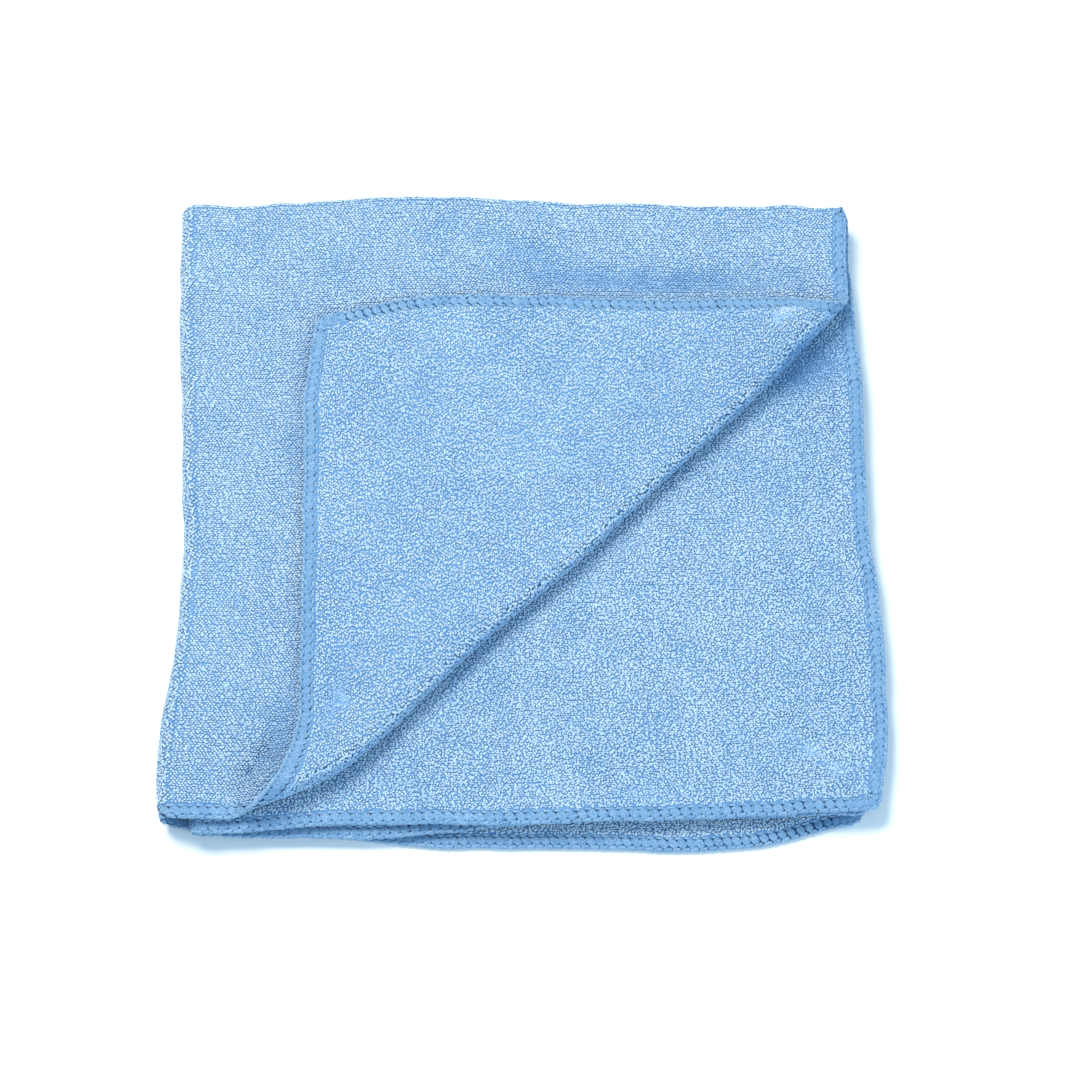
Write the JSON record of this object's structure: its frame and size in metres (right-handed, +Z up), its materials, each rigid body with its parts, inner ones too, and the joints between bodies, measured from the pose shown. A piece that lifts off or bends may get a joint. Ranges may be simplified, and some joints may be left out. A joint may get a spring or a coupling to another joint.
{
  "type": "microfibre cloth",
  "caption": "Square terry microfibre cloth with an overlocked edge, folded twice into a flat square, one top corner turned back in a loose roll.",
  "frame": {"origin": "middle of the folded cloth's footprint, on the surface that it lies on", "axes": "+Z up through the layers; the first fold lies along the +Y edge, the second fold along the -X edge, and the open hems along -Y and +X"},
  "size_m": [0.2099, 0.2072, 0.0175],
  "materials": {
    "terry": "matte terry pile with an overlocked edge in the same blue"
  },
  "bodies": {
    "root": {"cloth": "terry"}
  },
  "joints": []
}
